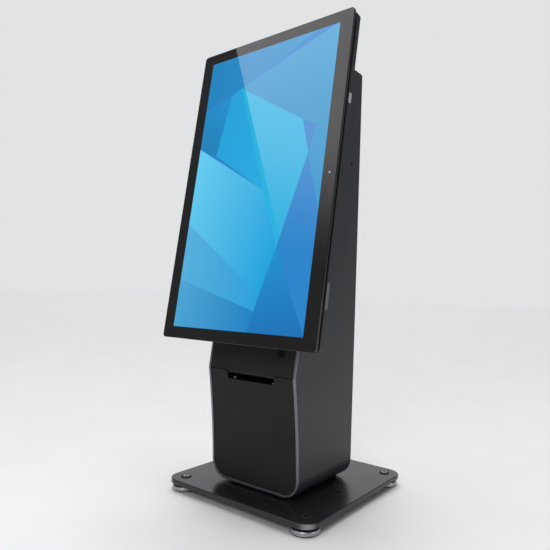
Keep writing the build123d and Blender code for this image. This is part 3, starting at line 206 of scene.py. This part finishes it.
def powder_coat_with_corner_highlight():
    """Black powder coat on steel: a satin, slightly pebbled skin, with a painted highlight of bright metallic
    steel on the rim at the corners.

    The real pebble is about 0.5 mm, drawn at 1.6 mm so that it shows.
    """
    material = finish("powder_coat_with_corner_highlight", ("161618", "1c1c1f"), (0.24, 0.32), 60, grain=(1.6, 0.014), IOR=1.5)
    tree = material.node_tree
    shader = tree.nodes["finish"]
    # Painted highlight: the rim at the corners turns bright and metallic to stand in for a reflection of
    # light
    highlight_share = corner_highlight_mask(tree)
    coat = shader.inputs["Base Color"].links[0].from_socket
    inputs = {FACTOR: highlight_share, FIRST: coat, SECOND: colour(HIGHLIGHT_STEEL)}
    highlighted = add(tree, "ShaderNodeMix", inputs, data_type="RGBA").outputs[MIXED]
    tree.links.new(highlighted, shader.inputs["Base Color"])
    tree.links.new(highlight_share, shader.inputs["Metallic"])
    return material


# ---------------------------------------------------------------- the lit screen

# A made-up pattern of flat facets, in mm from the middle of the screen: each has its corners
# anticlockwise, its two colours and the way it shades from the first to the second
FACETS = (
    (((-135, 240), (-135, 140), (-60, 172), (60, 214), (135, 240)), "0082c2", "1c9ad2", (1, 0.2)),
    (((-60, 172), (86, 92), (135, 70), (135, 240), (60, 214)), "0a94cc", "3aa4d6", (0.3, 1)),
    (((-135, 140), (-135, 76), (-92, 58), (-74, 165)), "0080bc", "0094d2", (0.4, 1)),
    (((-74, 165), (-92, 58), (24, -14), (-54, 174)), "0ca4dc", "14aee8", (1, -0.4)),
    (((-54, 174), (24, -14), (66, -108), (104, 36), (86, 92)), "10b6e4", "1eb6e6", (0.3, -1)),
    (((86, 92), (104, 36), (66, -108), (135, -236), (135, 70)), "0a94d0", "229cd6", (0.2, -1)),
    (((-135, 76), (-135, -60), (44, -182), (66, -108), (24, -14)), "64d2f8", "04a6e2", (1, -0.35)),
    (((-135, -60), (-135, -158), (38, -206), (44, -182)), "53b3e2", "1ca4e0", (1, -0.1)),
    (((-135, -158), (-135, -240), (30, -240), (38, -206)), "47a8db", "0884c7", (1, -0.2)),
    (((38, -206), (30, -240), (136, -240), (66, -108), (44, -182)), "0a94d4", "0070ba", (0.2, -1)),
)
SCREEN_HALF = (134.05, 238.3)
SCREEN_LEVEL = 0.92
BEHIND_FACETS = "1c86d0"
UNLIT = "000000"


def spot_on_screen(tree):
    """Where a point lies on the glass, in mm across and up from its middle."""
    where = add(tree, "ShaderNodeTexCoord").outputs["Object"]
    inputs = {0: where, 1: GLASS_MIDDLE}
    from_middle = add(tree, "ShaderNodeVectorMath", inputs, operation="SUBTRACT").outputs["Vector"]
    parts = {}
    for name, axis in (("X", Vector((1, 0, 0))), ("Y", SCREEN_UP)):
        inputs = {0: from_middle, 1: axis / MM}
        parts[name] = add(tree, "ShaderNodeVectorMath", inputs, operation="DOT_PRODUCT").outputs["Value"]
    return add(tree, "ShaderNodeCombineXYZ", parts).outputs["Vector"]


def inside_facet(tree, spot, outline):
    """One inside an anticlockwise outline without hollows, and nought outside it."""
    inside = 1.0
    for first, second in zip(outline, outline[1:] + outline[:1]):
        inward = (first[1] - second[1], second[0] - first[0], 0)
        inputs = {0: spot, 1: inward}
        depth = add(tree, "ShaderNodeVectorMath", inputs, operation="DOT_PRODUCT").outputs["Value"]
        inputs = {0: depth, 1: inward[0] * first[0] + inward[1] * first[1]}
        past = add(tree, "ShaderNodeMath", inputs, operation="GREATER_THAN").outputs["Value"]
        inside = add(tree, "ShaderNodeMath", {0: past, 1: inside}, operation="MULTIPLY").outputs["Value"]
    return inside


def facet_colour(tree, spot, outline, tints, direction):
    """A facet's two colours, shading from the first to the second along a direction."""
    reach = [point[0] * direction[0] + point[1] * direction[1] for point in outline]
    inputs = {0: spot, 1: (*direction, 0)}
    along = add(tree, "ShaderNodeVectorMath", inputs, operation="DOT_PRODUCT").outputs["Value"]
    inputs = {"Value": along, "From Min": min(reach), "From Max": max(reach)}
    share = add(tree, "ShaderNodeMapRange", inputs).outputs["Result"]
    inputs = {FACTOR: share, FIRST: colour(tints[0]), SECOND: colour(tints[1])}
    return add(tree, "ShaderNodeMix", inputs, data_type="RGBA").outputs[MIXED]


def lit_glass():
    """Cover glass over the lit screen: a sharp, faintly smeared gloss on black print and a blue picture."""
    material = finish("lit_glass", ("111112", "161616"), (0.012, 0.03), 45, IOR=1.52)
    tree = material.node_tree
    shader = tree.nodes["finish"]
    spot = spot_on_screen(tree)
    picture = colour(BEHIND_FACETS)
    for outline, near, far, direction in FACETS:
        facet = facet_colour(tree, spot, outline, (near, far), direction)
        inputs = {FACTOR: inside_facet(tree, spot, outline), FIRST: picture, SECOND: facet}
        picture = add(tree, "ShaderNodeMix", inputs, data_type="RGBA").outputs[MIXED]
    wide, tall = SCREEN_HALF
    window = inside_facet(tree, spot, ((-wide, tall), (-wide, -tall), (wide, -tall), (wide, tall)))
    inputs = {FACTOR: window, FIRST: colour(UNLIT), SECOND: picture}
    light = add(tree, "ShaderNodeMix", inputs, data_type="RGBA").outputs[MIXED]
    tree.links.new(light, shader.inputs["Emission Color"])
    shader.inputs["Emission Strength"].default_value = SCREEN_LEVEL
    return material


# ---------------------------------------------------------------- metals and plastics


def satin_paint():
    """Blue-grey satin paint on formed aluminium: a soft sheen with a faint orange peel."""
    return finish("satin_paint", ("22242a", "282a30"), (0.42, 0.5), 90, grain=(2.2, 0.03), IOR=1.5)


def drawn_anodising(name, tints):
    """Anodised aluminium, drawn lengthwise: a soft metallic line whose fine grain runs upwards."""
    return finish(name, tints, (0.34, 0.46), 0.8, stretch=(1, 1, 0.04), Metallic=0.8)


# How far a moulding's roughness drifts below and above its own value
PLASTIC_DRIFT = (-0.03, 0.05)


def moulded_plastic(name, tints, rough, shine=0.5):
    """Moulded ABS from a spark-eroded tool: matt, with a fine even grain.

    The real grain is about 0.3 mm, drawn at 1.2 mm so that it shows.
    """
    values = {"IOR": 1.46, "Specular IOR Level": shine}
    drift = (rough + PLASTIC_DRIFT[0], rough + PLASTIC_DRIFT[1])
    return finish(name, tints, drift, 70, grain=(1.2, 0.05), **values)


def turned_steel():
    """Turned bright steel: a clean metallic shine with fine level lathe rings."""
    tints = ("8e8e92", "bcbcc0")
    return finish("turned_steel", tints, (0.2, 0.34), 1.2, stretch=(0.06, 0.06, 1), Metallic=1.0)


def black_oxide():
    """Oiled black oxide on steel: dark and dull, only faintly metallic."""
    return finish("black_oxide", ("161618", "242427"), (0.42, 0.58), 1.5, Metallic=0.4)


def black_nickel():
    """Black nickel plate on the lock: a dark smoky metal, finely brushed."""
    return finish("black_nickel", ("1e1e20", "303033"), (0.25, 0.4), 0.7, stretch=(1, 0.1, 1), Metallic=1.0)


def black_primer():
    """Dipped black primer on folded steel: thin, even and low in sheen."""
    return finish("black_primer", ("131314", "1b1b1d"), (0.45, 0.6), 25, grain=(2.0, 0.02), IOR=1.5)


def black_rubber():
    """Moulded rubber: matt black under a dusty bloom."""
    return finish("black_rubber", ("121212", "1e1e1e"), (0.7, 0.85), 6, grain=(1.0, 0.03), IOR=1.52)


ZINC_CRYSTAL = 7 * MM
ZINC_SHADES = ("858a8f", "b0b4b8")


def zinc_plate():
    """Hot-dipped zinc on sheet steel: pale grey with broad crystals, each of its own shade."""
    material = finish("zinc_plate", ("8f9398", "a9adb1"), (0.32, 0.5), 20, Metallic=0.9)
    tree = material.node_tree
    shader = tree.nodes["finish"]
    where = add(tree, "ShaderNodeTexCoord").outputs["Object"]
    crystals = add(tree, "ShaderNodeTexVoronoi", {"Vector": where, "Scale": 1 / ZINC_CRYSTAL})
    shade = add(tree, "ShaderNodeSeparateColor", {"Color": crystals.outputs["Color"]}).outputs["Red"]
    inputs = {FACTOR: shade, FIRST: colour(ZINC_SHADES[0]), SECOND: colour(ZINC_SHADES[1])}
    spangle = add(tree, "ShaderNodeMix", inputs, data_type="RGBA").outputs[MIXED]
    tree.links.new(spangle, shader.inputs["Base Color"])
    return material


CORNERS = ("front_left", "front_right", "rear_left", "rear_right")


def paint_frame():
    """Gives every CAD node its material."""
    feet = ["levelling_foot_" + corner for corner in CORNERS]
    soles = ["foot_sole_" + corner for corner in CORNERS]
    wear = {
        powder_coat_with_corner_highlight(): ["base_plate"],
        satin_paint(): ["column_shell"],
        drawn_anodising("drawn_trim", ("6f7075", "828388")): ["column_trim"],
        drawn_anodising("bright_button", ("c8c8cc", "dcdce0")): ["power_button"],
        moulded_plastic("panel_plastic", ("232423", "282928"), 0.55, 0.12): ["printer_door", "upper_fascia"],
        moulded_plastic("rear_plastic", ("1c1c1e", "242426"), 0.55): ["rear_cover", "top_cap"],
        moulded_plastic("cover_plastic", ("222225", "28282b"), 0.5): ["display_rear_cover", "speakers"],
        moulded_plastic("port_plastic", ("5a5a5e", "66666a"), 0.4): ["port_cover"],
        moulded_plastic("frame_plastic", ("303032", "3a3a3c"), 0.3): ["front_frame"],
        # Painted shade: near black, darker than the other mouldings, for the parts that sit in the slot, the
        # gaps and the recesses
        moulded_plastic("painted_shade_plastic", ("060607", "0b0b0c"), 0.65, 0.15): [
            "mid_frame", "paper_chute", "paper_cutter", "column_spacer",
        ],
        moulded_plastic("unit_plastic", ("29292b", "313133"), 0.45): [
            "printer_lid", "power_supply", "feed_motor",
        ],
        turned_steel(): feet + ["lid_pin", "roll_spindle", "platen_shaft"],
        black_oxide(): [
            "foot_inserts", "column_screws", "rear_cover_screws", "side_inserts", "bracket_screws",
            "vesa_screws", "tray_screws", "tear_bar", "door_pivots", "door_catch",
        ],
        black_nickel(): ["lock_body", "lock_nut", "lock_plug", "lock_cam"],
        black_primer(): ["spine", "vesa_bracket"],
        black_rubber(): soles + ["outlet_grommet", "platen_roller"],
        zinc_plate(): ["printer_tray", "printer_chassis", "power_supply_strap", "backlight"],
        lit_glass(): ["display_glass"],
        # Cast epoxy over the status light: a small clear dome, its cool glow painted as a pale bluish colour
        # with no light of its own
        finish("led_epoxy_painted_glow", ("aab4c8", "c4cee0"), (0.08, 0.14), 1, IOR=1.54): ["status_led"],
        # Polarising film on the switched-off back of the panel: smooth, black and slightly brown
        finish("panel_film", ("0e0c0c", "161313"), (0.15, 0.25), 40, IOR=1.5): ["lcd_panel"],
        # Solder-masked circuit board: glossy dark green, paler over the copper
        finish("circuit_board", ("0c3a1c", "1a5a2c"), (0.3, 0.45), 3, IOR=1.5): ["main_board"],
        # Machined brass posts: warm yellow metal, a little dulled
        finish("machined_brass", ("a5843f", "c0a050"), (0.25, 0.38), 2, Metallic=1.0): ["board_posts"],
        # Thermal paper, tightly wound: smooth off-white with faint layer lines around the roll
        finish("thermal_paper", ("dcdcd6", "f0f0ec"), (0.6, 0.75), 0.6, stretch=(1, 0.2, 0.2), IOR=1.45): [
            "paper_roll",
        ],
        # Grey board core: fibrous brown card, matt
        finish("core_card", ("7d5f3a", "a07c50"), (0.8, 0.92), 2, grain=(1.0, 0.05), IOR=1.4): ["roll_core"],
        # Die-cast aluminium head: pale grey metal with a cast skin
        finish("cast_aluminium", ("9a9a9e", "b4b4b8"), (0.32, 0.45), 1.5, grain=(1.2, 0.03), Metallic=1.0): [
            "print_head",
        ],
    }
    for material, members in wear.items():
        for name in members:
            node = nodes[name]
            node.data.materials.clear()
            node.data.materials.append(material)


# ---------------------------------------------------------------- the slot's paper sensors

CHUTE_WALL = 1.6 * MM
SENSOR_SETBACK = 0.6 * MM
SENSOR_DEPTH = 3 * MM
# As shares: how far back the collar's step lies, its rim's radius, and the dome's radius and rise
COLLAR_STEP = 0.25
COLLAR_RIM = 0.86
DOME_RADIUS = 0.78
DOME_RISE = 0.3
DOME_STEPS = 8
SENSOR_SIDES = 32
MERGE_DISTANCE = 0.001 * MM
# Name, place across the slot and radius
SENSORS = (("paper_sensor_left", -35 * MM, 2.6 * MM), ("paper_sensor_right", 45 * MM, 1.8 * MM))


def paper_sensor(name, across, radius):
    """A domed lens in a stepped collar, standing on the chute's floor in the mouth of the slot."""
    chute_low = corners_of("paper_chute")[0]
    middle = Vector((across, chute_low.y + SENSOR_SETBACK, chute_low.z + CHUTE_WALL + radius))
    step = COLLAR_STEP * SENSOR_DEPTH
    collar = [(0, SENSOR_DEPTH), (radius, SENSOR_DEPTH), (radius, step), (COLLAR_RIM * radius, 0)]
    turns = [pi / 2 * number / (DOME_STEPS - 1) for number in range(DOME_STEPS)]
    dome = [(DOME_RADIUS * radius * cos(turn), -DOME_RISE * radius * sin(turn)) for turn in turns]
    shape = bmesh.new()
    profile = [shape.verts.new((out, back, 0)) for out, back in collar + dome]
    for first, second in zip(profile, profile[1:]):
        shape.edges.new((first, second))
    outline = shape.verts[:] + shape.edges[:]
    whole_turn = {"cent": (0, 0, 0), "axis": (0, 1, 0), "angle": 2 * pi, "steps": SENSOR_SIDES}
    bmesh.ops.spin(shape, geom=outline, use_merge=True, **whole_turn)
    bmesh.ops.remove_doubles(shape, verts=shape.verts, dist=MERGE_DISTANCE)
    bmesh.ops.recalc_face_normals(shape, faces=shape.faces)
    for face in shape.faces:
        face.smooth = True
        face.material_index = 1 if face.calc_center_median().y < 0 else 0
    bmesh.ops.translate(shape, verts=shape.verts, vec=middle)
    return keep_object(name, shape)


def make_sensors():
    collar = moulded_plastic("collar_plastic", ("2a2a2c", "343436"), 0.4)
    # Clear acrylic lens over a dark sensor: glossy grey with a bright point of light
    lens = finish("sensor_acrylic", ("4a4e52", "666a70"), (0.1, 0.18), 1.5, IOR=1.49)
    for name, across, radius in SENSORS:
        sensor = paper_sensor(name, across, radius)
        sensor.data.materials.append(collar)
        sensor.data.materials.append(lens)
        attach(sensor, "printer_door")


# ---------------------------------------------------------------- stage and light

# Metres from the middle of the floor to its edges
FLOOR_REACH = 60

# The room's bright side lies behind the kiosk, towards negative X, and fades in between two shares of
# facing it squarely
BRIGHT_SIDE = (-0.6, 0.8, 0)
ROOM_FADE = (0.5, 0.9)
ROOM_DIM = 0.25
ROOM_BRIGHT = 0.9
ROOM_COLOUR = "f4f5f7"
WALL_COLOUR = "e2e3e4"

# The glare's outline on the glass and the heights between which it fades, in mm from the middle
GLARE_OUTLINE = ((-101, 300), (158, -300), (190, -300), (190, 300))
GLARE_FADE = (-110, 150)
GLARE_LEVEL = 2.1
CARD_COLOUR = "ffffff"
# Metres from the middle of the glass to the card
CARD_DISTANCE = 2.2

SUN_LEVEL = 2.3
SUN_SPREAD = radians(50)
SUN_TURN = (radians(-6), radians(-8), 0)
# Name, place, point that it faces, width and height, all in metres, and watts
PANEL_LIGHTS = (
    ("front_light", (0.6, -1.7, 1.15), (0, -0.1, 0.2), (0.8, 0.6), 12),
    ("side_light", (2.6, 0.3, 0.9), (0.1, 0, 0.1), (1.2, 0.9), 7),
)


def make_floor():
    shape = bmesh.new()
    bmesh.ops.create_grid(shape, x_segments=1, y_segments=1, size=FLOOR_REACH)
    floor = keep_object("floor", shape)
    # Pale studio paper: matt, with a barely visible cloudiness
    floor.data.materials.append(finish("studio_paper", ("dcdcdc", "e0e0e0"), (0.55, 0.65), 200, IOR=1.45))


def make_room():
    """A room that is brightest behind the kiosk, with an even pale wall in view."""
    world = bpy.data.worlds.new("studio")
    bpy.context.scene.world = world
    world.use_nodes = True
    tree = world.node_tree
    tree.nodes.clear()
    inputs = {0: add(tree, "ShaderNodeTexCoord").outputs["Generated"], 1: BRIGHT_SIDE}
    toward = add(tree, "ShaderNodeVectorMath", inputs, operation="DOT_PRODUCT").outputs["Value"]
    inputs = {"Value": toward, "From Min": ROOM_FADE[0], "From Max": ROOM_FADE[1],
              "To Min": ROOM_DIM, "To Max": ROOM_BRIGHT}
    level = add(tree, "ShaderNodeMapRange", inputs, interpolation_type="SMOOTHSTEP").outputs["Result"]
    seen = add(tree, "ShaderNodeLightPath").outputs["Is Camera Ray"]
    room = add(tree, "ShaderNodeBackground", {"Color": colour(ROOM_COLOUR), "Strength": level})
    wall = add(tree, "ShaderNodeBackground", {"Color": colour(WALL_COLOUR), "Strength": 1.0})
    inputs = {0: seen, 1: room.outputs["Background"], 2: wall.outputs["Background"]}
    both = add(tree, "ShaderNodeMixShader", inputs)
    add(tree, "ShaderNodeOutputWorld", {"Surface": both.outputs["Shader"]})


def on_card(across_mm, up_mm):
    """The point of the card that is mirrored at a point of the glass."""
    eye_depth = (CAMERA_AT - GLASS_MIDDLE).dot(INTO_SCREEN)
    mirrored_eye = CAMERA_AT - INTO_SCREEN * 2 * eye_depth
    outward = (GLASS_MIDDLE - mirrored_eye).normalized()
    card_depth = (GLASS_MIDDLE - mirrored_eye).length + CARD_DISTANCE
    ray = on_glass(across_mm, up_mm) - mirrored_eye
    return mirrored_eye + ray * card_depth / ray.dot(outward)


def make_glare_card():
    """A tall light card whose mirror image lies slantwise over the right of the glass."""
    shape = bmesh.new()
    shape.faces.new([shape.verts.new(on_card(across, up)) for across, up in GLARE_OUTLINE])
    card = keep_object("glare_card", shape)
    card.visible_camera = False
    material = bpy.data.materials.new("card_light")
    material.use_nodes = True
    tree = material.node_tree
    tree.nodes.clear()
    where = add(tree, "ShaderNodeTexCoord").outputs["Object"]
    height = add(tree, "ShaderNodeSeparateXYZ", {"Vector": where}).outputs["Z"]
    dark, light = (on_card(0, up).z for up in GLARE_FADE)
    inputs = {"Value": height, "From Min": dark, "From Max": light, "To Min": ROOM_DIM, "To Max": GLARE_LEVEL}
    level = add(tree, "ShaderNodeMapRange", inputs, interpolation_type="SMOOTHSTEP").outputs["Result"]
    glow = add(tree, "ShaderNodeEmission", {"Color": colour(CARD_COLOUR), "Strength": level})
    add(tree, "ShaderNodeOutputMaterial", {"Surface": glow.outputs["Emission"]})
    card.data.materials.append(material)


def add_panel_light(name, at, aim, size, power):
    """A soft rectangular light that looks from one point to another."""
    light = bpy.data.lights.new(name, "AREA")
    light.shape = "RECTANGLE"
    light.size, light.size_y = size
    light.energy = power
    lamp = bpy.data.objects.new(name, light)
    bpy.context.scene.collection.objects.link(lamp)
    lamp.visible_camera = False
    direction = Vector(aim) - Vector(at)
    lamp.matrix_world = Matrix.Translation(at) @ direction.to_track_quat("-Z", "Y").to_matrix().to_4x4()


def make_light():
    make_room()
    make_glare_card()
    sun = bpy.data.lights.new("overhead", "SUN")
    sun.energy = SUN_LEVEL
    sun.angle = SUN_SPREAD
    overhead = bpy.data.objects.new("overhead", sun)
    bpy.context.scene.collection.objects.link(overhead)
    overhead.rotation_euler = SUN_TURN
    for panel in PANEL_LIGHTS:
        add_panel_light(*panel)


make_camera()
paint_frame()
make_sensors()
make_floor()
make_light()
